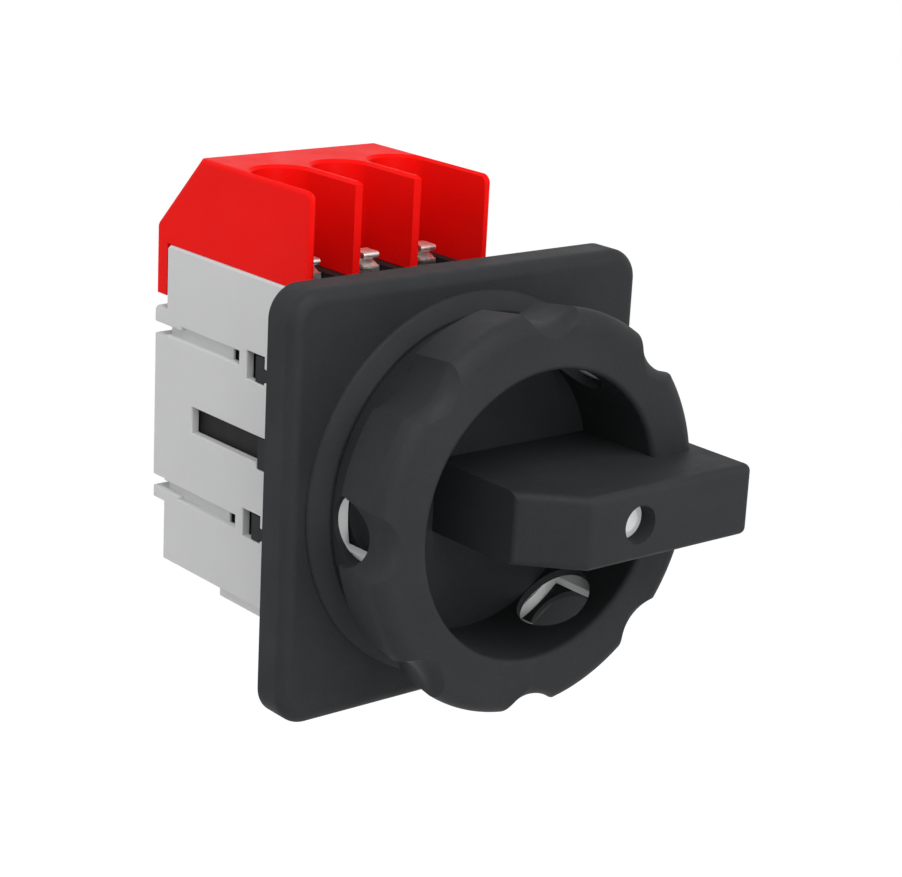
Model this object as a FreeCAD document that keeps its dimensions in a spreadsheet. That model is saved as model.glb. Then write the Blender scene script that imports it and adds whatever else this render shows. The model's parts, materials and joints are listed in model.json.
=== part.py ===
import FreeCAD, Part
import os
import re
import Sketcher

# Three-pole door-mounted switch disconnector, in millimetres.
# X points right seen from the front, Y points back into the enclosure and Z points up.
# The origin lies on the handle axis, in the back face of the mask plate.

Vector = FreeCAD.Vector
Rotation = FreeCAD.Rotation
Placement = FreeCAD.Placement

doc = FreeCAD.newDocument("SwitchDisconnector")
sheet = doc.addObject("Spreadsheet::Sheet", "Sizes")

SIZES = {
    # mask plate with its round boss
    "plate_side": 67.0,
    "plate_thick": 6.3,
    "plate_corner": 5.0,
    "plate_edge_round": 2.0,
    "boss_spread": 2.8,
    "boss_lip": 1.2,
    "boss_round": 0.8,
    "boss_step": 0.5,
    "boss_height": 2.2,
    "recess_depth": 3.0,
    "neck_wall": 1.5,
    "neck_length": 3.6,
    "screw_pitch": 28.0,
    "screw_hole": 2.2,
    "gasket_inner": 27.5,
    "gasket_outer": 30.5,
    "gasket_thick": 1.2,
    # locking collar
    "collar_inner": 24.3,
    "collar_wall": 2.0,
    "collar_seat": 3.0,
    "collar_front": 20.0,
    "window_width": 9.4,
    "window_rear": 8.6,
    "window_front": 18.5,
    "padlock_angle": 57.0,
    # knob ring
    "knob_front": 24.8,
    "skirt_wall": 0.7,
    "flare": 0.135,
    "lobe_rear": 14.0,
    "lobe_rise": 2.2,
    "lobe_round": 2.7,
    "scallop_count": 8,
    "scallop_curve": 9.0,
    "scallop_lift": 0.1,
    "scallop_lip": 0.05,
    "cup_skin": 1.3,
    "cup_taper": 0.4,
    "cup_floor": 8.4,
    "cup_floor_thick": 2.2,
    "cup_lip_round": 0.8,
    "padlock_hole": 5.3,
    "padlock_mouth": 6.1,
    "padlock_depth": 14.6,
    # grip bar on the knob
    "bar_width": 11.4,
    "bar_left": 8.0,
    "bar_tip": 33.0,
    "bar_front": 34.9,
    "bar_bevel": 8.0,
    "bar_under": 21.15,
    "bar_round": 1.2,
    "bar_wall": 1.8,
    "dot_place": 9.8,
    "dot_radius": 3.0,
    "dot_depth": 2.6,
    "dot_length": 3.0,
    "dot_dome": 0.4,
    # hub, circlip and shaft
    "hub_radius": 8.0,
    "hub_end": 1.7,
    "circlip_start": 0.3,
    "circlip_thick": 0.8,
    "circlip_bottom": 7.2,
    "circlip_outer": 10.4,
    "circlip_gap": 4.0,
    "shaft_side": 6.0,
    "shaft_front": 19.0,
    "shaft_rear": 23.0,
    "shaft_chamfer": 0.5,
    # drive housing behind the panel
    "panel_gap": 2.0,
    "drive_depth": 10.0,
    "drive_height": 48.0,
    "drive_floor": 3.2,
    "detent_left": 12.0,
    "detent_right": 11.0,
    "detent_half": 9.0,
    "journal_radius": 6.4,
    "tongue_rear": 23.8,
    "tongue_top": 2.2,
    "tongue_bottom": 3.2,
    "hook_thick": 1.5,
    "hook_neck": 1.9,
    "hook_neck_low": 0.6,
    "hook_head": 2.3,
    # cam rotor and its detent spring
    "square_side": 13.0,
    "square_round": 2.2,
    "square_length": 5.0,
    "square_end": 10.4,
    "shoulder_radius": 8.5,
    "drum_radius": 10.0,
    "drum_front": 13.0,
    "drum_rear": 24.0,
    "cam_pin": 1.3,
    "cam_reach": 1.5,
    "cam_gap": 0.35,
    "cam_start": 17.0,
    "cam_stroke": 3.0,
    "cam_overrun": 10.0,
    "spring_strip": 0.6,
    "spring_height": 3.6,
    "spring_left": 10.0,
    # contact carrier and bridge contacts
    "carrier_wall": 2.4,
    "carrier_front": 14.5,
    "carrier_floor": 2.4,
    "crossbar_end": 1.2,
    "crossbar_height": 11.2,
    "crossbar_rear": 33.2,
    "bridge_width": 5.0,
    "bridge_length": 24.0,
    "bridge_thick": 1.0,
    "bridge_front": 30.2,
    "bridge_window": 2.0,
    "tip_radius": 2.2,
    "tip_height": 0.75,
    "tip_place": 9.7,
    "leaf_thick": 0.3,
    "leaf_width": 4.0,
    "leaf_flat": 1.1,
    "leaf_reach": 4.9,
    # fixed contacts, clamps and terminal screws
    "pole_pitch": 11.5,
    "pole_count": 3,
    "strip_thick": 1.5,
    "strip_width": 6.0,
    "strip_place": 21.3,
    "strip_shelf": 15.45,
    "strip_seat": 37.75,
    "strip_inner": 7.5,
    "strip_outer": 24.6,
    "hook_tab_width": 3.0,
    "hook_tab_front": 19.6,
    "hook_tab_top": 30.9,
    "hook_tab_thick": 1.0,
    "cage_height": 7.0,
    "cage_low": 17.6,
    "cage_wall": 1.0,
    "cage_side": 3.3,
    "cage_rear": 36.3,
    "cage_nut": 1.8,
    "screw_shank": 1.9,
    "screw_tip": 33.6,
    "screw_neck": 41.0,
    "screw_head": 3.3,
    "screw_head_thick": 2.4,
    "slot_width": 1.0,
    "slot_depth": 1.3,
    # inner blocks
    "block_top": 28.3,
    "block_bottom": 25.2,
    "chamber_gap": 0.5,
    "chamber_rear": 31.0,
    "wire_hole": 4.6,
    "wire_hole_low": 4.2,
    "wire_place": 28.0,
    "notch_width": 6.4,
    "notch_front": 17.4,
    "notch_depth": 1.6,
    # grey casing
    "block_wall": 0.4,
    "case_wall": 1.6,
    "case_top": 27.65,
    "case_bottom": 26.4,
    "case_floor": 1.1,
    "case_rear": 50.4,
    "case_edge": 0.5,
    "middle_top": 12.3,
    "middle_bottom": 12.35,
    "middle_rear": 53.8,
    "window_near": 22.4,
    "window_far": 27.3,
    "window_low": 10.8,
    "window_high": 15.4,
    "slot_rear": 42.5,
    "slot_half": 2.2,
    "groove_depth": 1.0,
    "groove_low": 12.6,
    "groove_high": 14.2,
    "groove_wide": 14.8,
    "groove_turn": 46.0,
    "groove_end": 32.3,
    "groove_pocket": 29.4,
    "tab_width": 7.0,
    "tab_top": 17.2,
    "tab_rear": 53.9,
    "low_tab_bottom": 16.3,
    "low_tab_front": 46.2,
    "ledge_inset": 0.8,
    "ledge_bottom": 28.2,
    "ledge_rear": 34.4,
    "driver_hole": 3.7,
    # red line-side terminal cover
    "cover_inset": 0.5,
    "cover_front": 12.0,
    "cover_top": 43.3,
    "cover_rear": 54.0,
    "cover_slope_top": 42.1,
    "cover_slope_low": 31.1,
    "cover_corner": 1.5,
    "cover_side_round": 0.8,
    "cover_wall": 1.4,
    "cover_skirt": 2.7,
    "cover_skirt_end": 19.0,
    "bay_radius": 5.05,
    "bay_rim": 0.5,
    "partition_front": 16.0,
    "hollow_front": 34.6,
    "foot_gap": 0.1,
    # clearances
    "turning_gap": 0.3,
    "seat_gap": 0.1,
    "slide_gap": 0.3,
}

for row, (alias, size) in enumerate(SIZES.items(), start=1):
    sheet.set("A%d" % row, alias)
    sheet.set("B%d" % row, str(size))
    sheet.setAlias("B%d" % row, alias)
doc.recompute()

# Sizes that follow from others, so that neighbours keep their clearances.
FOLLOWING = {
    "boss_top": "collar_inner + collar_wall + seat_gap + boss_lip",
    "boss_foot": "boss_top + boss_spread",
    "skirt_base": "collar_inner + collar_wall + turning_gap + skirt_wall",
    "cup_floor_radius": "collar_inner - turning_gap - cup_skin",
    "cup_mouth_radius": "cup_floor_radius - cup_taper",
    "case_half": "(pole_count - 1) / 2 * pole_pitch + cage_side + cage_wall + block_wall + 3 * seat_gap + case_wall",
    "cover_half": "case_half - cover_inset",
    "ledge_half": "case_half - ledge_inset",
    "crossbar_width": "(pole_count - 1) * pole_pitch + bridge_width + 2 * crossbar_end",
}

# Places that follow from the sizes, written as expressions on the sheet.
BOSS_FRONT = "(plate_thick + boss_height)"
RECESS_FLOOR = "(%s - recess_depth)" % BOSS_FRONT
COLLAR_OUTER = "(collar_inner + collar_wall)"
KNOB_REAR = "(%s + turning_gap)" % BOSS_FRONT
SKIRT_AT_LOBE = "(skirt_base + flare * (lobe_rear - %s))" % KNOB_REAR
LOBE_FOOT = "(%s + lobe_rise)" % SKIRT_AT_LOBE
LOBE_FRONT = "(%s + flare * (knob_front - lobe_rear))" % LOBE_FOOT
GROOVE_FRONT = "(collar_front + turning_gap)"
FLOOR_REAR = "(cup_floor - cup_floor_thick)"
MOUTH_LENGTH = "(cup_skin + turning_gap / 2 + 4)"
NECK_INNER = "(circlip_outer + turning_gap)"
NECK_OUTER = "(%s + neck_wall)" % NECK_INNER
DRIVE_REAR = "(panel_gap + drive_depth)"
CARRIER_INNER = "(drum_radius + turning_gap)"
CARRIER_OUTER = "(%s + carrier_wall)" % CARRIER_INNER
CARRIER_FLOOR_FRONT = "(drum_rear + 2 * turning_gap)"
CARRIER_FLOOR_REAR = "(%s + carrier_floor)" % CARRIER_FLOOR_FRONT
CHAMBER = "(%s + chamber_gap)" % CARRIER_OUTER
BRIDGE_REAR = "(bridge_front + bridge_thick)"
PAD_FRONT = "(%s + tip_height + cam_stroke + turning_gap)" % BRIDGE_REAR
INNER_HALF = "(case_half - case_wall)"
BLOCK_HALF = "(%s - seat_gap)" % INNER_HALF
CAGE_HIGH = "(cage_low + cage_height)"
CLAMP_MIDDLE = "(cage_low + cage_height / 2)"
STRIP_REAR = "(strip_place + strip_thick)"
WALL_INSIDE = "(case_rear - case_wall)"
COVER_FOOT = "(case_top + foot_gap)"


def tie(text):
    """Write out the sizes that follow from others, and point every size at its cell."""
    while re.search(r"\b(%s)\b" % "|".join(FOLLOWING), text):
        text = re.sub(r"[a-z_]+", lambda word: "(%s)" % FOLLOWING[word.group()]
                      if word.group() in FOLLOWING else word.group(), text)
    return re.sub(r"[a-z_]+", lambda word: "Sizes." + word.group() if word.group() in SIZES else word.group(), text)


def number(text):
    """The present value of an expression, in millimetres or degrees."""
    found = sheet.evalExpression(tie(text))
    return float(getattr(found, "Value", found))


def new_body(label):
    body = doc.addObject("PartDesign::Body", label)
    body.Label = label
    body.AllowCompound = True
    return body


def origin_item(body, role):
    return [item for item in body.Origin.OriginFeatures if item.Role == role][0]


class Drawing:
    """A sketch on one of its body's planes, with every point tied to the sheet."""

    def __init__(self, body, name, plane, away="0", across="0", up="0"):
        self.sketch = body.newObject("Sketcher::SketchObject", name)
        self.sketch.AttachmentSupport = (origin_item(body, plane), "")
        self.sketch.MapMode = "FlatFace"
        for path, text in (("x", across), ("y", up), ("z", away)):
            if text != "0":
                self.sketch.setExpression(".AttachmentOffset.Base." + path, tie(text))

    def hold(self, kind, geometry, point, text):
        value = number(text)
        if point:
            limit = Sketcher.Constraint(kind, -1, 1, geometry, point, value)
        else:
            limit = Sketcher.Constraint(kind, geometry, value)
        place = self.sketch.addConstraint(limit)
        self.sketch.setExpression("Constraints[%d]" % place, tie(text))

    def outline(self, points):
        first = self.sketch.GeometryCount
        count = len(points)
        corners = [Vector(number(x), number(y), 0) for x, y in points]
        for here in range(count):
            edge = Part.LineSegment(corners[here], corners[(here + 1) % count])
            self.sketch.addGeometry(edge, False)
        for here in range(count):
            meet = Sketcher.Constraint("Coincident", first + here, 2, first + (here + 1) % count, 1)
            self.sketch.addConstraint(meet)
        for here, (x, y) in enumerate(points):
            self.hold("DistanceX", first + here, 1, x)
            self.hold("DistanceY", first + here, 1, y)

    def rectangle(self, left, right, low, high):
        self.outline([(left, low), (right, low), (right, high), (left, high)])

    def circle(self, x, y, radius):
        middle = Vector(number(x), number(y), 0)
        round_edge = Part.Circle(middle, Vector(0, 0, 1), number(radius))
        geometry = self.sketch.addGeometry(round_edge, False)
        self.hold("DistanceX", geometry, 3, x)
        self.hold("DistanceY", geometry, 3, y)
        self.hold("Radius", geometry, 0, radius)


def extrude(body, kind, name, drawing, length, back, midplane):
    feature = body.newObject(kind, name)
    feature.Profile = drawing.sketch
    drawing.sketch.Visibility = False
    if length == "all":
        feature.Type = "ThroughAll"
    else:
        feature.setExpression("Length", tie(length))
    feature.Reversed = back
    feature.Midplane = midplane
    body.Tip = feature
    return feature


def pad(body, name, drawing, length, back=False, midplane=False):
    return extrude(body, "PartDesign::Pad", name, drawing, length, back, midplane)


def pocket(body, name, drawing, length="all", back=False, midplane=False):
    return extrude(body, "PartDesign::Pocket", name, drawing, length, back, midplane)


def turn(body, name, drawing, cut=False):
    """Revolve a sketch about its own vertical axis."""
    feature = body.newObject("PartDesign::Groove" if cut else "PartDesign::Revolution", name)
    feature.Profile = drawing.sketch
    feature.ReferenceAxis = (drawing.sketch, ["V_Axis"])
    feature.Angle = 360
    body.Tip = feature
    return feature


def around(body, name, originals, count, role="Y_Axis"):
    """Repeat features round an axis of the body."""
    pattern = body.newObject("PartDesign::PolarPattern", name)
    pattern.Originals = originals
    pattern.Axis = (origin_item(body, role), [""])
    pattern.Angle = 360
    pattern.setExpression("Occurrences", tie(count))
    body.Tip = pattern
    return pattern


def mirror(body, name, originals, plane="YZ_Plane"):
    copy = body.newObject("PartDesign::Mirrored", name)
    copy.Originals = originals
    copy.MirrorPlane = (origin_item(body, plane), [""])
    body.Tip = copy
    return copy


def dress(body, kind, name, size, wanted):
    """Fillet or chamfer the edges of the tip that a test picks."""
    doc.recompute()
    base = body.Tip
    names = ["Edge%d" % place for place, edge in enumerate(base.Shape.Edges, start=1) if wanted(edge)]
    if not names:
        raise RuntimeError("no edge found for " + name)
    feature = body.newObject(kind, name)
    feature.Base = (base, names)
    feature.setExpression("Radius" if kind.endswith("Fillet") else "Size", tie(size))
    body.Tip = feature
    return feature


def fillet(body, name, size, wanted):
    return dress(body, "PartDesign::Fillet", name, size, wanted)


def chamfer(body, name, size, wanted):
    return dress(body, "PartDesign::Chamfer", name, size, wanted)


def near(one, other, slack=0.01):
    return abs(one - other) < slack


def runs_along(edge, axis):
    """True for a straight edge along x, y or z."""
    if not isinstance(edge.Curve, Part.Line):
        return False
    return abs(getattr(edge.Curve.Direction, axis)) > 0.999


def all_at(edge, axis, value):
    return all(near(getattr(vertex.Point, axis), value) for vertex in edge.Vertexes)


def is_circle(edge, radius, y):
    if not isinstance(edge.Curve, Part.Circle):
        return False
    return near(edge.Curve.Radius, radius) and near(edge.Curve.Center.y, y)


def radial_drawing(body, name, side, distance):
    """A sketch square to a radius: x runs tangentially, y runs along the handle axis."""
    angle = "padlock_angle" if side > 0 else "-padlock_angle"
    drawing = Drawing(body, name, "XY_Plane")
    tilt = "90 - padlock_angle" if side > 0 else "90 + padlock_angle"
    drawing.sketch.AttachmentOffset = Placement(Vector(), Rotation(Vector(0, 1, 0), number(tilt)))
    drawing.sketch.setExpression(".AttachmentOffset.Base.x", tie("%s * cos(%s)" % (distance, angle)))
    drawing.sketch.setExpression(".AttachmentOffset.Base.z", tie("%s * sin(%s)" % (distance, angle)))
    drawing.sketch.setExpression(".AttachmentOffset.Rotation.Angle", tie(tilt))
    return drawing


def make_mask_plate():
    """Square front plate with a round boss, the collar seat and a neck behind it."""
    body = new_body("mask_plate")
    square = Drawing(body, "plate_square", "XZ_Plane")
    square.rectangle("-plate_side / 2", "plate_side / 2", "-plate_side / 2", "plate_side / 2")
    pad(body, "plate", square, "plate_thick")
    fillet(body, "plate_corners", "plate_corner", lambda edge: runs_along(edge, "y"))
    front = -number("plate_thick")
    fillet(body, "plate_edge", "plate_edge_round", lambda edge: all_at(edge, "y", front))
    boss = Drawing(body, "boss_section", "XY_Plane")
    boss.outline([
        ("0", "-plate_thick / 2"),
        ("boss_foot", "-plate_thick / 2"),
        ("boss_foot", "-(plate_thick + boss_step)"),
        ("boss_top", "-%s" % BOSS_FRONT),
        ("0", "-%s" % BOSS_FRONT),
    ])
    turn(body, "boss", boss)
    foot, ledge = number("boss_foot"), -number("plate_thick + boss_step")
    fillet(body, "boss_shoulder", "boss_round", lambda edge: is_circle(edge, foot, ledge))
    top, face = number("boss_top"), -number(BOSS_FRONT)
    fillet(body, "boss_rim", "boss_round / 2", lambda edge: is_circle(edge, top, face))
    neck = Drawing(body, "neck_ring", "XZ_Plane", away="-neck_length")
    neck.circle("0", "0", NECK_OUTER)
    pad(body, "neck", neck, "neck_length + 1")
    recess = Drawing(body, "recess_section", "XY_Plane")
    recess.outline([
        ("0", "-(%s + 1)" % BOSS_FRONT),
        ("%s + seat_gap" % COLLAR_OUTER, "-(%s + 1)" % BOSS_FRONT),
        ("%s + seat_gap" % COLLAR_OUTER, "-collar_seat"),
        ("collar_inner - seat_gap", "-collar_seat"),
        ("collar_inner - seat_gap", "-%s" % RECESS_FLOOR),
        ("0", "-%s" % RECESS_FLOOR),
    ])
    turn(body, "recess", recess, cut=True)
    bore = Drawing(body, "hub_bore_circle", "XZ_Plane", away="%s + 1" % RECESS_FLOOR)
    bore.circle("0", "0", "hub_radius + turning_gap")
    pocket(body, "hub_bore", bore)
    counterbore = Drawing(body, "circlip_room_circle", "XZ_Plane")
    counterbore.circle("0", "0", NECK_INNER)
    pocket(body, "circlip_room", counterbore)
    holes = Drawing(body, "screw_circles", "XZ_Plane", away="%s + 1" % RECESS_FLOOR)
    for x in ("-screw_pitch / 2", "screw_pitch / 2"):
        for z in ("-screw_pitch / 2", "screw_pitch / 2"):
            holes.circle(x, z, "screw_hole")
    pocket(body, "screw_holes", holes)
    groove = Drawing(body, "gasket_groove_rings", "XZ_Plane", away="gasket_thick")
    groove.circle("0", "0", "gasket_outer + seat_gap")
    groove.circle("0", "0", "gasket_inner - seat_gap")
    pocket(body, "gasket_groove", groove)
    return body


def make_panel_gasket():
    """Flat rubber ring that seals the plate against the panel."""
    body = new_body("panel_gasket")
    ring = Drawing(body, "gasket_rings", "XZ_Plane")
    ring.circle("0", "0", "gasket_outer")
    ring.circle("0", "0", "gasket_inner")
    pad(body, "gasket", ring, "gasket_thick")
    return body


def make_locking_collar():
    """Fixed sleeve inside the knob; its three windows take the padlock shackles."""
    body = new_body("locking_collar")
    ring = Drawing(body, "collar_rings", "XZ_Plane", away="collar_seat")
    ring.circle("0", "0", COLLAR_OUTER)
    ring.circle("0", "0", "collar_inner")
    pad(body, "sleeve", ring, "collar_front - collar_seat")
    start = "(collar_inner - 4)"
    for side, name in ((1, "upper"), (-1, "lower")):
        window = radial_drawing(body, name + "_window_outline", side, start)
        window.rectangle("-window_width / 2", "window_width / 2", "-window_front", "-window_rear")
        pocket(body, name + "_window", window, "collar_wall + 8", back=True)
    window = Drawing(body, "left_window_outline", "YZ_Plane", away="-%s" % start)
    window.rectangle("-window_front", "-window_rear", "-window_width / 2", "window_width / 2")
    pocket(body, "left_window", window, "collar_wall + 8")
    return body


def add_scallops(body):
    """Finger scallops: a leaning round cut and a ring cut that rolls it over the front edge."""
    lean = "atan(flare)"
    bottom = "(%s + scallop_lift)" % SKIRT_AT_LOBE
    front = "(knob_front - lobe_round + scallop_lip)"
    touch = "(%s + lobe_round * -sin(%s))" % (front, lean)
    side_cut = body.newObject("PartDesign::SubtractiveCylinder", "scallop_side")
    side_cut.AttachmentSupport = (origin_item(body, "XZ_Plane"), "")
    side_cut.MapMode = "FlatFace"
    side_cut.AttachmentOffset = Placement(Vector(), Rotation(Vector(0, 1, 0), number(lean)))
    side_cut.setExpression(".AttachmentOffset.Rotation.Angle", tie(lean))
    side_cut.setExpression(".AttachmentOffset.Base.x", tie("%s + scallop_curve * cos(%s)" % (bottom, lean)))
    side_cut.setExpression(".AttachmentOffset.Base.z", tie("lobe_rear - scallop_curve * sin(%s)" % lean))
    side_cut.setExpression("Radius", tie("scallop_curve"))
    side_cut.setExpression("Height", tie("(%s - lobe_rear) / cos(%s)" % (touch, lean)))
    reach = "(%s + flare * (%s - lobe_rear) - lobe_round * cos(%s))" % (bottom, touch, lean)
    around(body, "side_scallops", [side_cut], "scallop_count")
    edge_cut = body.newObject("PartDesign::SubtractiveTorus", "scallop_edge")
    edge_cut.AttachmentSupport = (origin_item(body, "XY_Plane"), "")
    edge_cut.MapMode = "FlatFace"
    edge_cut.AttachmentOffset = Placement(Vector(), Rotation(Vector(0, 0, -1), 95))
    edge_cut.setExpression(".AttachmentOffset.Base.x", tie(reach))
    edge_cut.setExpression(".AttachmentOffset.Base.y", tie("-%s" % front))
    edge_cut.setExpression("Radius1", tie("lobe_round + scallop_curve"))
    edge_cut.setExpression("Radius2", tie("scallop_curve"))
    edge_cut.setExpression("Angle3", tie("95 deg + %s" % lean))
    around(body, "edge_scallops", [edge_cut], "scallop_count")


def make_knob():
    """Scalloped cup with a grip bar across it and a hub that runs through the plate."""
    body = new_body("knob")
    ring = Drawing(body, "ring_section", "XY_Plane")
    outer_wall = "%s + turning_gap" % COLLAR_OUTER
    inner_wall = "collar_inner - turning_gap"
    ring.outline([
        (outer_wall, "-%s" % KNOB_REAR),
        ("skirt_base", "-%s" % KNOB_REAR),
        (SKIRT_AT_LOBE, "-lobe_rear"),
        (LOBE_FOOT, "-lobe_rear"),
        (LOBE_FRONT, "-knob_front"),
        ("cup_mouth_radius", "-knob_front"),
        ("cup_floor_radius", "-cup_floor"),
        ("0", "-cup_floor"),
        ("0", "-%s" % FLOOR_REAR),
        (inner_wall, "-%s" % FLOOR_REAR),
        (inner_wall, "-%s" % GROOVE_FRONT),
        (outer_wall, "-%s" % GROOVE_FRONT),
    ])
    turn(body, "ring", ring)
    front = -number("knob_front")
    fillet(body, "lobe_edge", "lobe_round", lambda edge: is_circle(edge, number(LOBE_FRONT), front))
    fillet(body, "cup_lip", "cup_lip_round", lambda edge: is_circle(edge, number("cup_mouth_radius"), front))
    add_scallops(body)
    bar = Drawing(body, "bar_side", "XY_Plane")
    bar.outline([
        ("-bar_left", "-(cup_floor - cup_floor_thick / 2)"),
        ("-bar_left", "-(bar_front - bar_bevel)"),
        ("-bar_left + bar_bevel", "-bar_front"),
        ("bar_tip", "-bar_front"),
        ("bar_tip", "-bar_under"),
        ("cup_floor_radius + 0.2", "-bar_under"),
        ("cup_floor_radius + 0.2", "-(cup_floor - cup_floor_thick / 2)"),
    ])
    pad(body, "bar", bar, "bar_width", midplane=True)
    for side, name in ((1, "upper"), (-1, "lower")):
        hole = radial_drawing(body, name + "_padlock_circle", side, "(cup_floor_radius - 4)")
        hole.circle("0", "-padlock_depth", "padlock_hole")
        pocket(body, name + "_padlock_hole", hole, "20", back=True)
        mouth = radial_drawing(body, name + "_mouth_circle", side, "(cup_floor_radius - 4)")
        mouth.circle("0", "-padlock_depth", "padlock_mouth")
        pocket(body, name + "_padlock_mouth", mouth, MOUTH_LENGTH, back=True)
    hole = Drawing(body, "left_padlock_circle", "YZ_Plane", away="-(cup_floor_radius - 4)")
    hole.circle("-padlock_depth", "0", "padlock_hole")
    pocket(body, "left_padlock_hole", hole, "20")
    mouth = Drawing(body, "left_mouth_circle", "YZ_Plane", away="-(cup_floor_radius - 4)")
    mouth.circle("-padlock_depth", "0", "padlock_mouth")
    pocket(body, "left_padlock_mouth", mouth, MOUTH_LENGTH)
    doc.recompute()
    shoulder = -number("knob_front") - 0.5
    ends = (number("bar_tip"), -number("bar_left"))

    def on_bar(edge):
        low = max(vertex.Y for vertex in edge.Vertexes)
        outside = all(vertex.Y < shoulder for vertex in edge.Vertexes)
        on_tip = all_at(edge, "x", ends[0]) and low < -number("bar_under") + 0.01
        return outside or on_tip

    fillet(body, "bar_edges", "bar_round", on_bar)
    dot = Drawing(body, "dot_circle", "XZ_Plane", away="bar_front")
    dot.circle("dot_place", "0", "dot_radius")
    pocket(body, "dot_seat", dot, "dot_depth + dot_length")
    core = Drawing(body, "core_outline", "XZ_Plane", away="%s - 1" % FLOOR_REAR)
    core.rectangle("dot_place + dot_radius + bar_wall", "cup_floor_radius - bar_wall",
                   "-bar_width / 2 + bar_wall", "bar_width / 2 - bar_wall")
    pocket(body, "bar_core", core, "bar_front - bar_wall - %s + 1" % FLOOR_REAR, back=True)
    hub = Drawing(body, "hub_circle", "XZ_Plane", away="-hub_end")
    hub.circle("0", "0", "hub_radius")
    pad(body, "hub", hub, "hub_end + %s + 0.5" % FLOOR_REAR)
    clip = Drawing(body, "circlip_groove_section", "XY_Plane")
    clip.rectangle("circlip_bottom", "hub_radius + 1", "circlip_start - seat_gap / 2",
                   "circlip_start + circlip_thick + seat_gap / 2")
    turn(body, "circlip_groove", clip, cut=True)
    socket = Drawing(body, "socket_square", "XZ_Plane", away="-hub_end")
    half = "shaft_side / 2 + seat_gap"
    socket.rectangle("-(%s)" % half, half, "-(%s)" % half, half)
    pocket(body, "shaft_socket", socket, "hub_end + shaft_front", back=True)
    return body


def make_pointer_pin():
    """Light domed pin pressed into the recess of the grip bar."""
    body = new_body("pointer_pin")
    section = Drawing(body, "pin_section", "XY_Plane", across="dot_place")
    top = "(bar_front - dot_depth)"
    section.outline([
        ("0", "-(%s - dot_length)" % top),
        ("dot_radius", "-(%s - dot_length)" % top),
        ("dot_radius", "-(%s - dot_dome)" % top),
        ("dot_radius * 0.6", "-%s" % top),
        ("0", "-%s" % top),
    ])
    turn(body, "pin", section)
    return body


def make_hub_circlip():
    """Open spring ring that keeps the knob in the plate."""
    body = new_body("hub_circlip")
    ring = Drawing(body, "circlip_rings", "XZ_Plane", away="-(circlip_start + circlip_thick)")
    ring.circle("0", "0", "circlip_outer")
    ring.circle("0", "0", "circlip_bottom")
    pad(body, "circlip", ring, "circlip_thick")
    gap = Drawing(body, "circlip_gap_outline", "XZ_Plane", away="-(circlip_start - 1)")
    gap.rectangle("-circlip_gap / 2", "circlip_gap / 2", "-(circlip_outer + 1)", "0")
    pocket(body, "circlip_opening", gap)
    return body


def make_drive_shaft():
    """Square steel bar that turns the rotor with the knob."""
    body = new_body("drive_shaft")
    square = Drawing(body, "shaft_square", "XZ_Plane", away="-shaft_rear")
    square.rectangle("-shaft_side / 2", "shaft_side / 2", "-shaft_side / 2", "shaft_side / 2")
    pad(body, "shaft", square, "shaft_rear + shaft_front")
    chamfer(body, "shaft_ends", "shaft_chamfer", lambda edge: not runs_along(edge, "y"))
    return body


def hook_outline(drawing, low, high):
    """One snap hook seen from the side: a neck from the housing and a wider head."""
    neck_low = "(%s + hook_neck_low)" % low
    neck_high = "(%s + hook_neck)" % neck_low
    head_front = "(window_near + seat_gap)"
    head_rear = "(%s + hook_head)" % head_front
    drawing.outline([
        ("%s - 1" % DRIVE_REAR, neck_low),
        (head_front, neck_low),
        (head_front, "%s + 2 * seat_gap" % low),
        (head_rear, "%s + 2 * seat_gap" % low),
        (head_rear, "%s - 2 * seat_gap" % high),
        (head_front, "%s - 2 * seat_gap" % high),
        (head_front, neck_high),
        ("%s - 1" % DRIVE_REAR, neck_high),
    ])


def make_drive_housing():
    """Black front housing with the shaft bearing, the detent room and four snap hooks."""
    body = new_body("drive_housing")
    block = Drawing(body, "housing_outline", "XZ_Plane", away="-%s" % DRIVE_REAR)
    block.rectangle("-case_half", "case_half", "-drive_height / 2", "drive_height / 2")
    pad(body, "housing", block, "drive_depth")
    room = Drawing(body, "detent_room_outline", "XZ_Plane", away="-(panel_gap + drive_floor)")
    room.rectangle("-detent_left", "detent_right", "-detent_half", "detent_half")
    pocket(body, "detent_room", room)
    seat = Drawing(body, "neck_seat_circle", "XZ_Plane", away="-neck_length")
    seat.circle("0", "0", "%s + seat_gap" % NECK_OUTER)
    pocket(body, "neck_seat", seat, "neck_length", back=True)
    bearing = Drawing(body, "bearing_circle", "XZ_Plane")
    bearing.circle("0", "0", "journal_radius + turning_gap")
    pocket(body, "bearing", bearing)
    holes = Drawing(body, "screw_circles", "XZ_Plane")
    for x in ("-screw_pitch / 2", "screw_pitch / 2"):
        for z in ("-screw_pitch / 2", "screw_pitch / 2"):
            holes.circle(x, z, "screw_hole")
    pocket(body, "screw_holes", holes)
    hooks = Drawing(body, "hook_sides", "YZ_Plane", away="case_half - seat_gap")
    hook_outline(hooks, "window_low", "window_high")
    hook_outline(hooks, "-window_high", "-window_low")
    hooks.rectangle("%s - 1" % DRIVE_REAR, "tongue_rear - seat_gap",
                    "-(tongue_bottom - seat_gap)", "tongue_top - seat_gap")
    right = pad(body, "right_hooks", hooks, "hook_thick", back=True)
    mirror(body, "left_hooks", [right])
    return body


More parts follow.
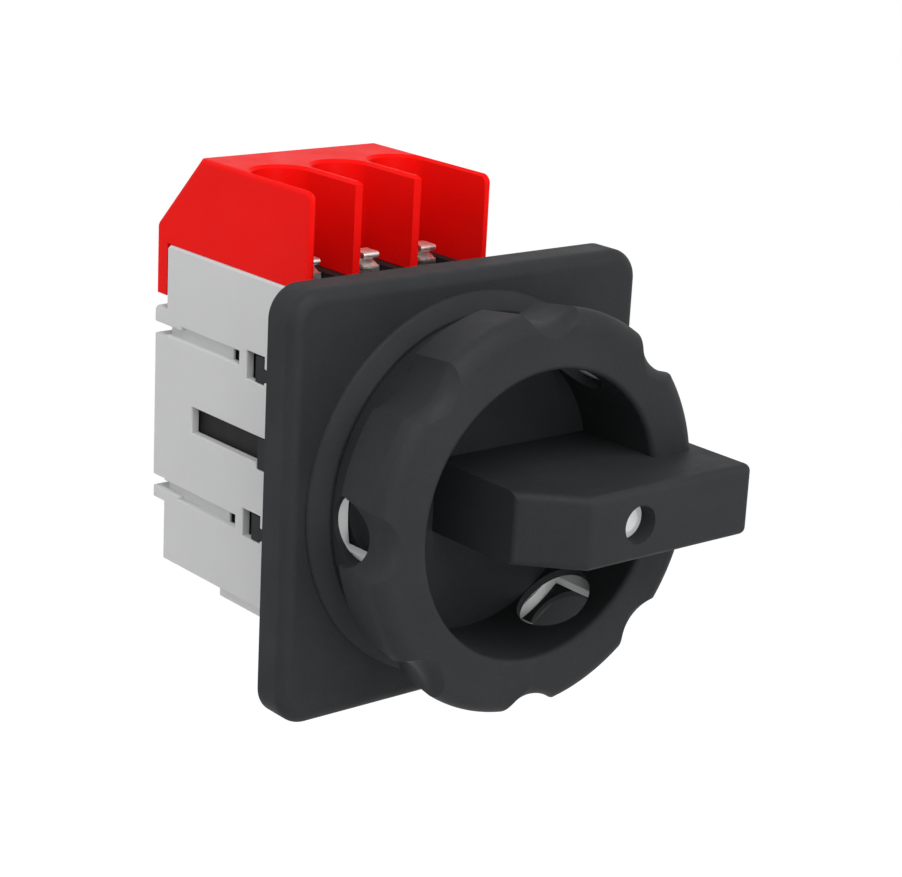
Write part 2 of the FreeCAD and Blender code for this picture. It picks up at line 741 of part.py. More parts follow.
def make_cam_rotor():
    """Plastic rotor: bearing journal, detent square and a drum with two helical grooves."""
    body = new_body("cam_rotor")
    square = Drawing(body, "detent_outline", "XZ_Plane", away="-square_end")
    square.rectangle("-square_side / 2", "square_side / 2", "-square_side / 2", "square_side / 2")
    pad(body, "detent_square", square, "square_length")
    fillet(body, "detent_corners", "square_round", lambda edge: runs_along(edge, "y"))
    section = Drawing(body, "rotor_section", "XY_Plane")
    front = "(panel_gap + 2 * turning_gap)"
    section.outline([
        ("0", front),
        ("journal_radius", front),
        ("journal_radius", "square_end"),
        ("shoulder_radius", "square_end"),
        ("shoulder_radius", "drum_front"),
        ("drum_radius", "drum_front"),
        ("drum_radius", "drum_rear"),
        ("0", "drum_rear"),
    ])
    turn(body, "rotor", section)
    half = "shaft_side / 2 + seat_gap"
    bore = Drawing(body, "square_bore_outline", "XZ_Plane")
    bore.rectangle("-(%s)" % half, half, "-(%s)" % half, half)
    pocket(body, "square_bore", bore)
    start = "(cam_start - cam_stroke * cam_overrun / 90)"
    thread = Drawing(body, "cam_groove_section", "XY_Plane")
    thread.sketch.AttachmentOffset = Placement(Vector(), Rotation(Vector(0, 1, 0), number("cam_overrun")))
    thread.sketch.setExpression(".AttachmentOffset.Rotation.Angle", tie("cam_overrun"))
    reach = "(%s - cam_reach - turning_gap)" % CARRIER_INNER
    width = "(cam_pin + cam_gap)"
    thread.rectangle(reach, "drum_radius + 1", "%s - %s" % (start, width), "%s + %s" % (start, width))
    groove = body.newObject("PartDesign::SubtractiveHelix", "cam_groove")
    groove.Profile = thread.sketch
    groove.ReferenceAxis = (origin_item(body, "Y_Axis"), [""])
    groove.Mode = "pitch-turns-angle"
    groove.setExpression("Pitch", tie("cam_stroke * 4"))
    groove.setExpression("Turns", tie("(90 + 2 * cam_overrun) / 360"))
    groove.LeftHanded = True
    body.Tip = groove
    around(body, "cam_grooves", [groove], "2")
    return body


def make_detent_spring():
    """Hairpin leaf spring whose two legs press on the rotor's square."""
    body = new_body("detent_spring")
    inner = "(square_side / 2 + seat_gap)"
    outer = "(%s + spring_strip)" % inner
    legs = Drawing(body, "spring_outline", "XZ_Plane", away="-(square_end - 0.6)")
    legs.outline([
        ("-spring_left", outer),
        ("detent_right - seat_gap", outer),
        ("detent_right - seat_gap", "-%s" % outer),
        ("-spring_left", "-%s" % outer),
        ("-spring_left", "-%s" % inner),
        ("detent_right - seat_gap - spring_strip", "-%s" % inner),
        ("detent_right - seat_gap - spring_strip", inner),
        ("-spring_left", inner),
    ])
    pad(body, "spring", legs, "spring_height")
    return body


def make_contact_carrier():
    """Cup round the drum with two cam pins, and the crossbar that holds the bridges."""
    body = new_body("contact_carrier")
    section = Drawing(body, "carrier_section", "XY_Plane")
    section.outline([
        (CARRIER_INNER, "carrier_front"),
        (CARRIER_OUTER, "carrier_front"),
        (CARRIER_OUTER, CARRIER_FLOOR_REAR),
        ("0", CARRIER_FLOOR_REAR),
        ("0", CARRIER_FLOOR_FRONT),
        (CARRIER_INNER, CARRIER_FLOOR_FRONT),
    ])
    turn(body, "cup", section)
    bar = Drawing(body, "crossbar_outline", "XZ_Plane", away="-crossbar_rear")
    bar.rectangle("-crossbar_width / 2", "crossbar_width / 2", "-crossbar_height / 2", "crossbar_height / 2")
    pad(body, "crossbar", bar, "crossbar_rear - %s + 0.1" % CARRIER_FLOOR_REAR)
    windows = Drawing(body, "bridge_windows_outline", "XY_Plane")
    for pole in POLES:
        middle = "(%d * pole_pitch)" % pole
        windows.rectangle("%s - bridge_width / 2 - seat_gap" % middle,
                          "%s + bridge_width / 2 + seat_gap" % middle,
                          "bridge_front - bridge_window", BRIDGE_REAR)
    pocket(body, "bridge_windows", windows, midplane=True)
    pin = Drawing(body, "cam_pin_circle", "YZ_Plane", away="%s - cam_reach" % CARRIER_INNER)
    pin.circle("cam_start", "0", "cam_pin")
    right = pad(body, "right_cam_pin", pin, "cam_reach + 0.5")
    mirror(body, "left_cam_pin", [right])
    return body


def place_at_pole(body, pole, lower=False):
    """Shift a piece to its pole, turned half round for the load side."""
    if lower:
        body.Placement = Placement(Vector(), Rotation(Vector(0, 1, 0), 180))
    body.setExpression(".Placement.Base.x", tie("%d * pole_pitch" % pole))


def make_bridge_contact(label, pole):
    """Moving contact: a bar with a rivet tip at each end."""
    body = new_body(label)
    bar = Drawing(body, "bar_outline", "XZ_Plane", away="-%s" % BRIDGE_REAR)
    bar.rectangle("-bridge_width / 2", "bridge_width / 2", "-bridge_length / 2", "bridge_length / 2")
    pad(body, "bar", bar, "bridge_thick")
    tips = Drawing(body, "tip_circles", "XZ_Plane", away="-(%s + tip_height)" % BRIDGE_REAR)
    for z in ("tip_place", "-tip_place"):
        tips.circle("0", z, "tip_radius")
    pad(body, "tips", tips, "tip_height + 0.1")
    place_at_pole(body, pole)
    return body


def make_contact_spring(label, pole):
    """Bowed leaf that presses a bridge against the carrier."""
    body = new_body(label)
    side = Drawing(body, "leaf_side", "YZ_Plane")
    foot = "(crossbar_height / 2 - 0.7)"
    side.outline([
        ("bridge_front", foot),
        ("bridge_front", "%s - 0.7" % foot),
        ("bridge_front - bridge_window + leaf_thick + 0.2", "leaf_flat"),
        ("bridge_front - bridge_window + leaf_thick + 0.2", "-leaf_flat"),
        ("bridge_front", "-(%s - 0.7)" % foot),
        ("bridge_front", "-%s" % foot),
        ("bridge_front - leaf_thick", "-%s" % foot),
        ("bridge_front - bridge_window", "-(leaf_flat + 0.3)"),
        ("bridge_front - bridge_window", "leaf_flat + 0.3"),
        ("bridge_front - leaf_thick", foot),
    ])
    pad(body, "leaf", side, "leaf_width", midplane=True)
    place_at_pole(body, pole)
    return body


def make_fixed_contact(label, pole, lower):
    """Bent contact strip from the terminal clamp inwards to its silver pad."""
    body = new_body(label)
    side = Drawing(body, "strip_side", "YZ_Plane")
    top = "strip_outer" if lower else "(block_top - seat_gap)"
    side.outline([
        ("strip_place", top),
        (STRIP_REAR, top),
        (STRIP_REAR, "strip_shelf + strip_thick"),
        ("strip_seat", "strip_shelf + strip_thick"),
        ("strip_seat", "strip_inner"),
        ("strip_seat - strip_thick", "strip_inner"),
        ("strip_seat - strip_thick", "strip_shelf"),
        ("strip_place", "strip_shelf"),
    ])
    pad(body, "strip", side, "strip_width", midplane=True)
    if not lower:
        tab = Drawing(body, "hook_tab_side", "YZ_Plane")
        under = "(hook_tab_top - hook_tab_thick)"
        tab.outline([
            ("hook_tab_front", "hook_tab_top"),
            (STRIP_REAR, "hook_tab_top"),
            (STRIP_REAR, "%s - 1" % top),
            ("strip_place", "%s - 1" % top),
            ("strip_place", "block_top"),
            ("hook_tab_front", "block_top"),
            ("hook_tab_front", "block_top + 0.3"),
            ("strip_place", "block_top + 1.1"),
            ("strip_place", under),
            ("hook_tab_front", under),
        ])
        pad(body, "hook_tab", tab, "hook_tab_width", midplane=True)
        nose = number("hook_tab_front")
        fillet(body, "tab_round", "hook_tab_thick * 0.45",
               lambda edge: runs_along(edge, "x") and all_at(edge, "y", nose)
               and edge.Vertexes[0].Z > number(under) - 0.01)
    silver = Drawing(body, "pad_circle", "XZ_Plane", away="-(strip_seat - strip_thick + 0.1)")
    silver.circle("0", "tip_place", "tip_radius")
    pad(body, "silver_pad", silver, "strip_seat - strip_thick + 0.1 - %s" % PAD_FRONT)
    place_at_pole(body, pole, lower)
    return body


def make_terminal_clamp(label, pole, lower):
    """Square wire cage with a threaded rear wall, hooked round the contact strip."""
    body = new_body(label)
    ring = Drawing(body, "cage_section", "XY_Plane", away="cage_low")
    side = "(cage_side + cage_wall)"
    ring.rectangle("-%s" % side, side, "strip_place - cage_wall", "cage_rear")
    ring.rectangle("-cage_side", "cage_side", "strip_place", "cage_rear - cage_nut")
    pad(body, "cage", ring, "cage_height")
    thread = Drawing(body, "thread_circle", "XZ_Plane", away="-(cage_rear - cage_nut - 1)")
    thread.circle("0", CLAMP_MIDDLE, "screw_shank + seat_gap / 2")
    pocket(body, "thread", thread)
    place_at_pole(body, pole, lower)
    return body


def make_terminal_screw(label, pole, lower):
    """Slotted clamp screw that is driven from behind."""
    body = new_body(label)
    section = Drawing(body, "screw_section", "XY_Plane", away=CLAMP_MIDDLE)
    end = "(screw_neck + screw_head_thick)"
    section.outline([
        ("0", "screw_tip"),
        ("screw_shank", "screw_tip"),
        ("screw_shank", "screw_neck"),
        ("screw_head", "screw_neck"),
        ("screw_head", end),
        ("0", end),
    ])
    turn(body, "screw", section)
    slot = Drawing(body, "slot_outline", "XZ_Plane", away="-%s" % end)
    slot.rectangle("-slot_width / 2", "slot_width / 2",
                   "%s - screw_head - 1" % CLAMP_MIDDLE, "%s + screw_head + 1" % CLAMP_MIDDLE)
    pocket(body, "slot", slot, "slot_depth", back=True)
    place_at_pole(body, pole, lower)
    return body


def make_mechanism_block():
    """Front inner block: round room for the rotor and carrier, seats for the clamps."""
    body = new_body("mechanism_block")
    outline = Drawing(body, "block_outline", "XZ_Plane", away="-strip_place")
    outline.rectangle("-%s" % BLOCK_HALF, BLOCK_HALF, "-block_bottom", "block_top")
    pad(body, "block", outline, "strip_place - %s" % DRIVE_REAR)
    room = Drawing(body, "room_circle", "XZ_Plane")
    room.circle("0", "0", CHAMBER)
    pocket(body, "room", room)
    seats = Drawing(body, "cage_seats_outline", "XZ_Plane", away="-(strip_place - cage_wall - seat_gap)")
    for pole in POLES:
        for low, high in (("cage_low", CAGE_HIGH), ("-%s" % CAGE_HIGH, "-cage_low")):
            seats.rectangle("%d * pole_pitch - cage_side - cage_wall - seat_gap" % pole,
                            "%d * pole_pitch + cage_side + cage_wall + seat_gap" % pole,
                            "%s - seat_gap" % low, "%s + seat_gap" % high)
    pocket(body, "cage_seats", seats)
    notches = Drawing(body, "notches_outline", "XY_Plane", away="block_top")
    for pole in POLES:
        notches.rectangle("%d * pole_pitch - notch_width / 2" % pole, "%d * pole_pitch + notch_width / 2" % pole,
                          "notch_front", "strip_place + 1")
    pocket(body, "notches", notches, "notch_depth")
    return body


def make_contact_block():
    """Rear inner block: carrier slot, pole chambers, strip slots, cage and wire holes."""
    body = new_body("contact_block")
    outline = Drawing(body, "block_outline", "XZ_Plane", away="-%s" % WALL_INSIDE)
    outline.rectangle("-%s" % BLOCK_HALF, BLOCK_HALF, "-block_bottom", "block_top")
    pad(body, "block", outline, "%s - strip_place" % WALL_INSIDE)
    room = Drawing(body, "room_circle", "XZ_Plane", away="-(strip_place - 1)")
    room.circle("0", "0", CHAMBER)
    pocket(body, "room", room, "chamber_rear - strip_place + 1")
    start = "(%s - slide_gap)" % CARRIER_FLOOR_REAR
    slot = Drawing(body, "crossbar_slot_outline", "XZ_Plane", away="-%s" % start)
    slot.rectangle("-(crossbar_width / 2 + slide_gap)", "crossbar_width / 2 + slide_gap",
                   "-(crossbar_height / 2 + slide_gap)", "crossbar_height / 2 + slide_gap")
    pocket(body, "crossbar_slot", slot, "strip_seat - %s" % start)
    arcs = Drawing(body, "pole_chambers_outline", "XZ_Plane", away="-%s" % start)
    strips = Drawing(body, "inner_strips_outline", "XZ_Plane", away="-(strip_seat - strip_thick - seat_gap)")
    shelves = Drawing(body, "strip_shelves_outline", "XZ_Plane", away="-(strip_place - 1)")
    cages = Drawing(body, "cage_rooms_outline", "XZ_Plane", away="-(strip_place - 1)")
    uprights = Drawing(body, "strip_uprights_outline", "XZ_Plane", away="-(strip_place - 1)")
    for pole in POLES:
        middle = "%d * pole_pitch" % pole
        wide = "(bridge_width / 2 + 1.3)"
        reach = "(bridge_length / 2 + 1.5)"
        arcs.rectangle("%s - %s" % (middle, wide), "%s + %s" % (middle, wide), "-%s" % reach, reach)
        narrow = "(strip_width / 2 + seat_gap)"
        left, right = "%s - %s" % (middle, narrow), "%s + %s" % (middle, narrow)
        high = "(strip_shelf + strip_thick + seat_gap)"
        strips.rectangle(left, right, "-%s" % high, high)
        low = "(strip_shelf - seat_gap)"
        shelves.rectangle(left, right, low, high)
        shelves.rectangle(left, right, "-%s" % high, "-%s" % low)
        uprights.rectangle(left, right, low, "block_top + 1")
        uprights.rectangle(left, right, "-(strip_outer + seat_gap)", "-%s" % low)
        cage = "(cage_side + cage_wall + 2 * seat_gap)"
        cages.rectangle("%s - %s" % (middle, cage), "%s + %s" % (middle, cage),
                        "cage_low - seat_gap", "%s + seat_gap" % CAGE_HIGH)
        cages.rectangle("%s - %s" % (middle, cage), "%s + %s" % (middle, cage),
                        "-(%s + seat_gap)" % CAGE_HIGH, "-(cage_low - seat_gap)")
    pocket(body, "pole_chambers", arcs, "strip_seat - %s" % start)
    pocket(body, "inner_strips", strips, "strip_thick + seat_gap")
    pocket(body, "strip_shelves", shelves, "strip_seat - strip_place + 1")
    pocket(body, "strip_uprights", uprights, "strip_thick + seat_gap + 1")
    pocket(body, "cage_rooms", cages)
    upper = Drawing(body, "line_wire_circles", "XY_Plane", away="block_top")
    lower = Drawing(body, "load_wire_circles", "XY_Plane", away="-block_bottom")
    for pole in POLES:
        upper.circle("%d * pole_pitch" % pole, "wire_place", "wire_hole")
        lower.circle("%d * pole_pitch" % pole, "wire_place", "wire_hole_low")
    pocket(body, "line_wire_holes", upper, "block_top - %s" % CLAMP_MIDDLE)
    pocket(body, "load_wire_holes", lower, "block_bottom - %s" % CLAMP_MIDDLE, back=True)
    return body


def make_casing():
    """Grey rear casing: side walls, stepped back, floor ledge, windows, slots and tabs."""
    body = new_body("casing")
    shell = Drawing(body, "shell_outline", "XZ_Plane", away="-case_rear")
    shell.rectangle("-case_half", "case_half", "-case_bottom", "case_top")
    pad(body, "shell", shell, "case_rear - %s" % DRIVE_REAR)
    middle = Drawing(body, "middle_outline", "XZ_Plane", away="-middle_rear")
    middle.rectangle("-case_half", "case_half", "-middle_bottom", "middle_top")
    pad(body, "middle", middle, "middle_rear - case_rear + 0.1")
    edges = (number("case_top"), -number("case_bottom"))
    chamfer(body, "case_edges", "case_edge",
            lambda edge: runs_along(edge, "y") and near(edge.Vertexes[0].Z, edges[0]))
    ledge = Drawing(body, "ledge_outline", "XY_Plane", away="-ledge_bottom")
    ledge.rectangle("-ledge_half", "ledge_half", DRIVE_REAR, "ledge_rear")
    pad(body, "ledge", ledge, "ledge_bottom - case_bottom + 0.1")
    tabs = Drawing(body, "tab_sides", "YZ_Plane", away="case_half")
    tabs.rectangle("case_rear - 1", "tab_rear", "groove_high", "tab_top")
    tabs.rectangle("low_tab_front", "tab_rear - 0.2", "-low_tab_bottom", "-groove_high")
    right = pad(body, "right_tabs", tabs, "tab_width", back=True)
    mirror(body, "left_tabs", [right])
    tab_top = number("tab_top")
    tab_rear = number("tab_rear")
    fillet(body, "tab_round", "(tab_rear - case_rear) * 0.4",
           lambda edge: runs_along(edge, "x") and all_at(edge, "z", tab_top) and all_at(edge, "y", tab_rear))
    inside = Drawing(body, "inside_outline", "XZ_Plane", away="-(%s - 1)" % DRIVE_REAR)
    inside.rectangle("-%s" % INNER_HALF, INNER_HALF, "-(case_bottom - case_floor)", "case_top + 1")
    pocket(body, "inside", inside, "%s - %s + 1" % (WALL_INSIDE, DRIVE_REAR))
    bulge = Drawing(body, "bulge_outline", "XZ_Plane", away="-(%s - 1)" % WALL_INSIDE)
    bulge.rectangle("-%s" % INNER_HALF, INNER_HALF, "-(middle_bottom - case_wall)", "middle_top - case_wall")
    pocket(body, "bulge", bulge, "middle_rear - case_rear + 1")
    openings = Drawing(body, "openings_sides", "YZ_Plane")
    for low, high in (("window_low", "window_high"), ("-window_high", "-window_low")):
        openings.rectangle("window_near", "window_far", low, high)
    openings.rectangle("tongue_rear", "slot_rear", "-slot_half", "slot_half")
    pocket(body, "windows", openings, midplane=True)
    notches = Drawing(body, "notches_sides", "YZ_Plane")
    for low in ("window_low", "-window_high"):
        neck = "(%s + hook_neck_low)" % low
        notches.rectangle("%s - 1" % DRIVE_REAR, "window_near + 0.5", "%s - seat_gap" % neck,
                          "%s + hook_neck + seat_gap" % neck)
    notches.rectangle("%s - 1" % DRIVE_REAR, "tongue_rear + 0.1", "-tongue_bottom", "tongue_top")
    pocket(body, "hook_notches", notches, midplane=True)
    grooves = Drawing(body, "grooves_sides", "YZ_Plane", away="case_half")
    for sign in ("", "-"):
        low, high = sign + "groove_low", sign + "groove_high"
        wide = sign + "groove_wide"
        grooves.outline([
            ("middle_rear + 1", low), ("middle_rear + 1", high), ("groove_turn", high), ("groove_turn", wide),
            ("groove_end", wide), ("groove_end", low),
        ])
    right = pocket(body, "right_grooves", grooves, "groove_depth")
    mirror(body, "left_grooves", [right])
    ends = Drawing(body, "groove_ends_sides", "YZ_Plane")
    ends.rectangle("groove_pocket", "groove_end", "groove_low", "groove_wide")
    ends.rectangle("groove_pocket", "groove_end", "-groove_wide", "-groove_low")
    pocket(body, "groove_ends", ends, midplane=True)
    drivers = Drawing(body, "driver_circles", "XZ_Plane", away="-(%s - 0.5)" % WALL_INSIDE)
    wires = Drawing(body, "wire_circles", "XY_Plane", away="-(ledge_bottom + 1)")
    for pole in POLES:
        wires.circle("%d * pole_pitch" % pole, "wire_place", "wire_hole_low")
        for sign in ("", "-"):
            drivers.circle("%d * pole_pitch" % pole, "%s%s" % (sign, CLAMP_MIDDLE), "driver_hole")
    pocket(body, "driver_holes", drivers, "case_wall + 1")
    pocket(body, "wire_holes", wires, "ledge_bottom - case_bottom + case_floor + 1.5", back=True)
    return body


def make_line_cover():
    """Red snap-on cover over the line terminals, with one open bay for each wire."""
    body = new_body("line_cover")
    side = Drawing(body, "cover_side", "YZ_Plane")
    side.outline([
        ("cover_front", COVER_FOOT),
        ("cover_front", "cover_top"),
        ("cover_slope_top", "cover_top"),
        ("cover_rear", "cover_slope_low"),
        ("cover_rear", "cover_skirt_end"),
        ("cover_rear - cover_skirt", "cover_skirt_end"),
        ("cover_rear - cover_skirt", COVER_FOOT),
    ])
    pad(body, "cover", side, "2 * cover_half", midplane=True)
    nose, top, half = number("cover_front"), number("cover_top"), number("cover_half")
    fillet(body, "front_corner", "cover_corner",
           lambda edge: runs_along(edge, "x") and all_at(edge, "y", nose) and all_at(edge, "z", top))

    def on_side(edge):
        level = all_at(edge, "x", half) or all_at(edge, "x", -half)
        return level and all(vertex.Z > number("cover_slope_low") - 0.01 for vertex in edge.Vertexes)

    fillet(body, "side_round", "cover_side_round", on_side)
    inner = "(pole_pitch + bay_radius)"
    opening = Drawing(body, "front_opening_outline", "XY_Plane", away="cover_top + 1")
    opening.rectangle("-%s" % inner, inner, "cover_front - 1", "partition_front")
    pocket(body, "front_opening", opening)
    bays = Drawing(body, "bays_outline", "XY_Plane", away="cover_top + 1")
    rounds = Drawing(body, "bay_circles", "XY_Plane", away="cover_top + 1")
    for pole in POLES:
        middle = "%d * pole_pitch" % pole
        bays.rectangle("%s - bay_radius" % middle, "%s + bay_radius" % middle, "partition_front - 1", "wire_place")
        rounds.circle(middle, "wire_place", "bay_radius")
    pocket(body, "bays", bays)
    pocket(body, "bay_rounds", rounds)
    seat = Drawing(body, "block_seat_outline", "XY_Plane", away="block_top + foot_gap")
    seat.rectangle("-%s" % INNER_HALF, INNER_HALF, "cover_front - 1", "cover_rear - cover_skirt")
    pocket(body, "block_seat", seat)
    slope = "((cover_slope_low - cover_top) / (cover_rear - cover_slope_top))"
    thick = "(cover_wall * sqrt(1 + %s * %s))" % (slope, slope)
    roof = "(cover_top - cover_wall)"
    back = "(cover_rear - cover_skirt)"
    hollow = Drawing(body, "hollow_side", "YZ_Plane")
    hollow.outline([
        ("hollow_front", "%s - 1" % COVER_FOOT),
        ("hollow_front", roof),
        ("cover_slope_top + (%s + %s - cover_top) / %s" % (roof, thick, slope), roof),
        (back, "cover_slope_low - %s * cover_skirt - %s" % (slope, thick)),
        (back, "%s - 1" % COVER_FOOT),
    ])
    pocket(body, "hollow", hollow, "2 * %s" % inner, midplane=True)

    def on_rim(edge):
        inside = all(abs(vertex.X) < number(inner) + 0.01 for vertex in edge.Vertexes)
        return inside and all_at(edge, "z", top) and all(vertex.Y < number("hollow_front") for vertex in edge.Vertexes)

    chamfer(body, "bay_rims", "bay_rim", on_rim)
    return body


POLES = range(-(SIZES["pole_count"] // 2), SIZES["pole_count"] // 2 + 1)

pieces = [
    make_mask_plate(),
    make_panel_gasket(),
    make_locking_collar(),
    make_knob(),
    make_pointer_pin(),
    make_hub_circlip(),
    make_drive_shaft(),
    make_drive_housing(),
    make_cam_rotor(),
    make_detent_spring(),
    make_contact_carrier(),
    make_mechanism_block(),
    make_contact_block(),
    make_casing(),
    make_line_cover(),
]
for count, pole in enumerate(POLES, start=1):
    pieces.append(make_bridge_contact("bridge_contact_%d" % count, pole))
    pieces.append(make_contact_spring("contact_spring_%d" % count, pole))
    for side, lower in (("line", False), ("load", True)):
        pieces.append(make_fixed_contact("%s_contact_%d" % (side, count), pole, lower))
        pieces.append(make_terminal_clamp("%s_clamp_%d" % (side, count), pole, lower))
        pieces.append(make_terminal_screw("%s_screw_%d" % (side, count), pole, lower))

doc.recompute()
for item in doc.Objects:
    if "Invalid" in item.State or "Error" in item.State:
        raise RuntimeError("%s failed: %s" % (item.Name, item.getStatusString()))
os.makedirs("parts", exist_ok=True)
for piece in pieces:
    if piece.Shape.isNull() or not piece.Shape.isValid():
        raise RuntimeError(piece.Label + " has no valid shape")
for piece in pieces:
    piece.Shape.exportStep("parts/%s.step" % piece.Label)
    box = piece.Shape.BoundBox
    print("%-20s solids %d volume %9.1f  x %.1f..%.1f y %.1f..%.1f z %.1f..%.1f" % (
        piece.Label, len(piece.Shape.Solids), piece.Shape.Volume,
        box.XMin, box.XMax, box.YMin, box.YMax, box.ZMin, box.ZMax))
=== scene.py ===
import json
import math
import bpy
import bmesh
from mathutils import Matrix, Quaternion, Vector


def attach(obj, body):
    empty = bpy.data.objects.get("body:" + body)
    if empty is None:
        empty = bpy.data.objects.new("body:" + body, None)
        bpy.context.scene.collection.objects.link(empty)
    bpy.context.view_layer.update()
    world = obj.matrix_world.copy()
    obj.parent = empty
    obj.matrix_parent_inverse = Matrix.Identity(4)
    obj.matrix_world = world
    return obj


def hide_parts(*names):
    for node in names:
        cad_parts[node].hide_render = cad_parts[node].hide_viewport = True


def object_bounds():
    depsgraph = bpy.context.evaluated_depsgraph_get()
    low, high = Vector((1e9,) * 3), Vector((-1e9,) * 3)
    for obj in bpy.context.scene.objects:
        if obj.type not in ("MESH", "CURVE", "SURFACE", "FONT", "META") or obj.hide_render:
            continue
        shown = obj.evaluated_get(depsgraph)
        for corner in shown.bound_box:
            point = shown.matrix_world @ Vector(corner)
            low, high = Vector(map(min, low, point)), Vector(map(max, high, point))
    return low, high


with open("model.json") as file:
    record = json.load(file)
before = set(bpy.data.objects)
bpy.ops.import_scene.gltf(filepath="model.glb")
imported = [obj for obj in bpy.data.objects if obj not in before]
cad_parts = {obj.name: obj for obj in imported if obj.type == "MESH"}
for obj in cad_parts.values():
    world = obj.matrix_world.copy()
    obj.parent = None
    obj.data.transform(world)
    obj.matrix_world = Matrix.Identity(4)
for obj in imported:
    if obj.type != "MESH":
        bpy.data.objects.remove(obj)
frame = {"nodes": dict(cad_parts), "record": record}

# %% [markdown]
# # A door-mounted switch disconnector
# The imported model gives every rigid piece its true shape and place. This lesson dresses it:
# it gives each plastic, metal and rubber surface a finish of its own, rounds the smallest
# edges of the casing, which the construction model leaves sharp, and sets up a camera and
# soft light as in a catalogue picture. First the box of the bare model is measured, so that
# the floor can be set below it.

MM = 0.001
scene = bpy.context.scene
bare_low, bare_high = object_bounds()
print("bare box in mm:", [round(v / MM, 1) for v in bare_high - bare_low])

# %% [markdown]
# ## Shader maths as plain expressions
# A moulded surface needs several noises mixed, sharpened and scaled. Wiring each of those
# steps by hand hides the idea, so one small class wraps a socket: an expression such as
# `gloss + grain * 0.12` adds its own Math nodes. Everything else comes from `node`, which takes
# a node's type, its settings and what goes into its sockets.

# %% Wrap a socket
class Socket:
    """An output socket that can be used in sums and products."""

    def __init__(self, paint, socket):
        self.paint = paint
        self.socket = socket

    def math(self, operation, one, other):
        return self.paint.node("ShaderNodeMath", {"operation": operation},
                               {0: one, 1: other})["Value"]

    def __add__(self, other):
        return self.math("ADD", self, other)

    def __sub__(self, other):
        return self.math("SUBTRACT", self, other)

    def __mul__(self, other):
        return self.math("MULTIPLY", self, other)


# %% [markdown]
# ## One material, one paint box
# `Paint` holds a material's node tree. Patterns read Object coordinates, which are the same
# metres as the model, so a grain size is given in real millimetres and doesn't stretch from
# piece to piece. What stays the same all over a surface is set on the shader itself; only
# what varies gets nodes.

# %% Make the paint box
MIX_COLOR_A, MIX_COLOR_B, MIX_COLOR_OUT = 6, 7, 2    # a Mix node's colour sockets, by number


class Paint:
    """A new material with a Principled shader and helpers for its nodes."""

    def __init__(self, name, color, roughness, **fixed):
        self.material = bpy.data.materials.new(name)
        self.material.use_nodes = True
        self.tree = self.material.node_tree
        self.shader = self.tree.nodes["Principled BSDF"]
        self.shader.inputs["Base Color"].default_value = (*color, 1)
        self.shader.inputs["Roughness"].default_value = roughness
        for socket, value in fixed.items():
            self.shader.inputs[socket.replace("_", " ")].default_value = value
        self.place = self.node("ShaderNodeTexCoord")["Object"]

    def node(self, kind, settings=None, inputs=None):
        made = self.tree.nodes.new(kind)
        for key, value in (settings or {}).items():
            setattr(made, key, value)
        for key, value in (inputs or {}).items():
            if isinstance(value, Socket):
                self.tree.links.new(value.socket, made.inputs[key])
            else:
                made.inputs[key].default_value = value
        return {output.name: Socket(self, output) for output in made.outputs}

    def noise(self, size_mm, detail=2.0, rough=0.5):
        """Even noise from 0 to 1 whose blobs are about as wide as the size."""
        return self.node("ShaderNodeTexNoise", None,
                         {"Vector": self.place, "Scale": 1 / (size_mm * MM), "Detail": detail,
                          "Roughness": rough})["Fac"]

    def span(self, value, low, high, to_low=0.0, to_high=1.0):
        """Stretch a value's range, with its ends held."""
        return self.node("ShaderNodeMapRange", {"clamp": True},
                         {"Value": value, "From Min": low, "From Max": high,
                          "To Min": to_low, "To Max": to_high})["Result"]

    def blend(self, factor, one, other):
        """Mix two colours."""
        self.node("ShaderNodeMix", {"data_type": "RGBA"}, {0: factor})
        made = self.tree.nodes[-1]
        for place, color in ((MIX_COLOR_A, one), (MIX_COLOR_B, other)):
            if isinstance(color, Socket):
                self.tree.links.new(color.socket, made.inputs[place])
            else:
                made.inputs[place].default_value = (*color, 1)
        return Socket(self, made.outputs[MIX_COLOR_OUT])

    def feed(self, name, socket):
        self.tree.links.new(socket.socket, self.shader.inputs[name])

    def bump(self, height, depth_mm):
        """Tilt the surface by a height that spans the given depth."""
        out = self.node("ShaderNodeBump", None,
                        {"Height": height, "Distance": depth_mm * MM, "Strength": 1.0})["Normal"]
        self.feed("Normal", out)


def lighter(color, share):
    return tuple(min(1.0, channel * share) for channel in color)


# %% [markdown]
# ## Moulded plastics
# The plate and knob are black plastic from a spark-eroded mould: a fine even grain about a
# third of a millimetre wide that breaks the highlight into a soft sheen. The casing and the
# cover come from smoother moulds. One recipe makes them all: a fine grain for the bump, a
# wide slow noise that makes the colour a little uneven as real pigment is, and a middle noise
# that varies the gloss, as fingers and the mould do.

# %% Plastic recipe
def moulded(name, color, roughness, grain_mm, grain_depth, tint=0.08, dust=0.0, **fixed):
    """Moulded plastic with grain, uneven pigment and a little dust in the grain."""
    paint = Paint(name, color, roughness, **fixed)
    grain = paint.noise(grain_mm, 3, 0.6)
    pigment = paint.span(paint.noise(14, 3, 0.55) * 0.5 + grain * 0.5, 0.35, 0.65)
    base = paint.blend(pigment, lighter(color, 1 - tint), lighter(color, 1 + tint))
    if dust:
        specks = paint.span(paint.noise(0.9, 4, 0.7), 0.62, 0.8)
        base = paint.blend(specks * dust, base, (0.32, 0.31, 0.29))
    paint.feed("Base Color", base)
    gloss = paint.span(paint.noise(5, 4, 0.6), 0.3, 0.7, roughness - 0.05, roughness + 0.06)
    paint.feed("Roughness", gloss + (grain - 0.5) * 0.12)
    paint.bump(grain, grain_depth)
    return paint.material


